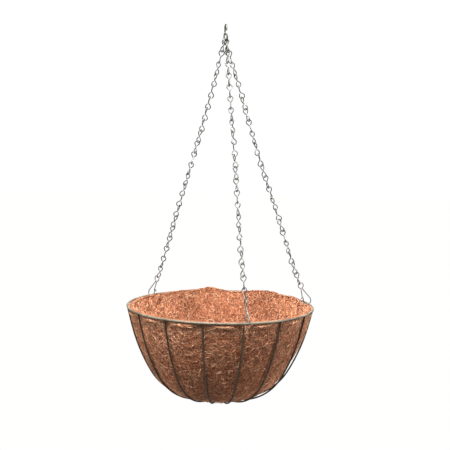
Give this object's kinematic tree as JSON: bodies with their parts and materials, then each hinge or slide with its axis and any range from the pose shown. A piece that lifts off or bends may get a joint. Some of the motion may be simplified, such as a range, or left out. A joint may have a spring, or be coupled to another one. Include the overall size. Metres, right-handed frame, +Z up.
{
  "type": "hanging basket",
  "caption": "Round-bottomed wire hanging basket with a coir liner, hung from a small hook on three jack chains with snap clips.",
  "frame": {"origin": "saddle of the hook: the inside top of its bend, where it rests on its support", "axes": "+Z up, along the line from the basket's middle to the hook; -Y is the front"},
  "size_m": [0.3595, 0.361, 0.7144],
  "materials": {
    "zinc_hook": "satin",
    "zinc_chain": "satin",
    "zinc_clip": "satin",
    "paint": "satin",
    "coir": "matte"
  },
  "bodies": {
    "hook": {"hook": "zinc_hook"},
    "top_links": {"top_link_front": "zinc_chain", "top_link_right": "zinc_chain", "top_link_left": "zinc_chain"},
    "basket": {"rim": "paint", "base_ring": "paint", "rib_01": "paint", "rib_02": "paint", "rib_03": "paint", "rib_04": "paint", "rib_05": "paint", "rib_06": "paint", "rib_07": "paint", "rib_08": "paint", "rib_09": "paint", "rib_10": "paint", "rib_11": "paint", "rib_12": "paint", "rib_13": "paint", "rib_14": "paint", "rib_15": "paint", "chain_front": "zinc_chain", "chain_right": "zinc_chain", "chain_left": "zinc_chain", "clip_wire_front": "zinc_clip", "clip_wire_right": "zinc_clip", "clip_wire_left": "zinc_clip"},
    "gate_front": {"clip_gate_front": "zinc_clip"},
    "gate_right": {"clip_gate_right": "zinc_clip"},
    "gate_left": {"clip_gate_left": "zinc_clip"},
    "liner": {"liner": "coir"}
  },
  "joints": [
    {"name": "swing_side", "type": "hinge", "parent": "hook", "child": "top_links", "pos_m": [0, 0, -0.0283], "axis": [0.4695, -0.8829, 0], "range_deg": [-20, 20]},
    {"name": "swing_front", "type": "hinge", "parent": "top_links", "child": "basket", "pos_m": [0.00009, -0.00016, -0.04822], "axis": [0.8829, 0.4695, 0], "range_deg": [-4, 4]},
    {"name": "clip_front_open", "type": "hinge", "parent": "basket", "child": "gate_front", "pos_m": [0.04454, -0.16056, -0.50514], "axis": [0.9043, 0.4229, -0.0581], "range_deg": [0, 25], "stiffness_Nm_per_rad": 0.02},
    {"name": "clip_right_open", "type": "hinge", "parent": "basket", "child": "gate_right", "pos_m": [0.15831, 0.05113, -0.50499], "axis": [-0.3074, 0.9516, 0], "range_deg": [0, 25], "stiffness_Nm_per_rad": 0.02},
    {"name": "clip_left_open", "type": "hinge", "parent": "basket", "child": "gate_left", "pos_m": [-0.1294, 0.10487, -0.50509], "axis": [-0.6293, -0.7771, 0.0024], "range_deg": [0, 25], "stiffness_Nm_per_rad": 0.02},
    {"name": "liner_lift", "type": "slide", "parent": "basket", "child": "liner", "axis": [0, 0, 1], "range_m": [0, 0.01]}
  ]
}
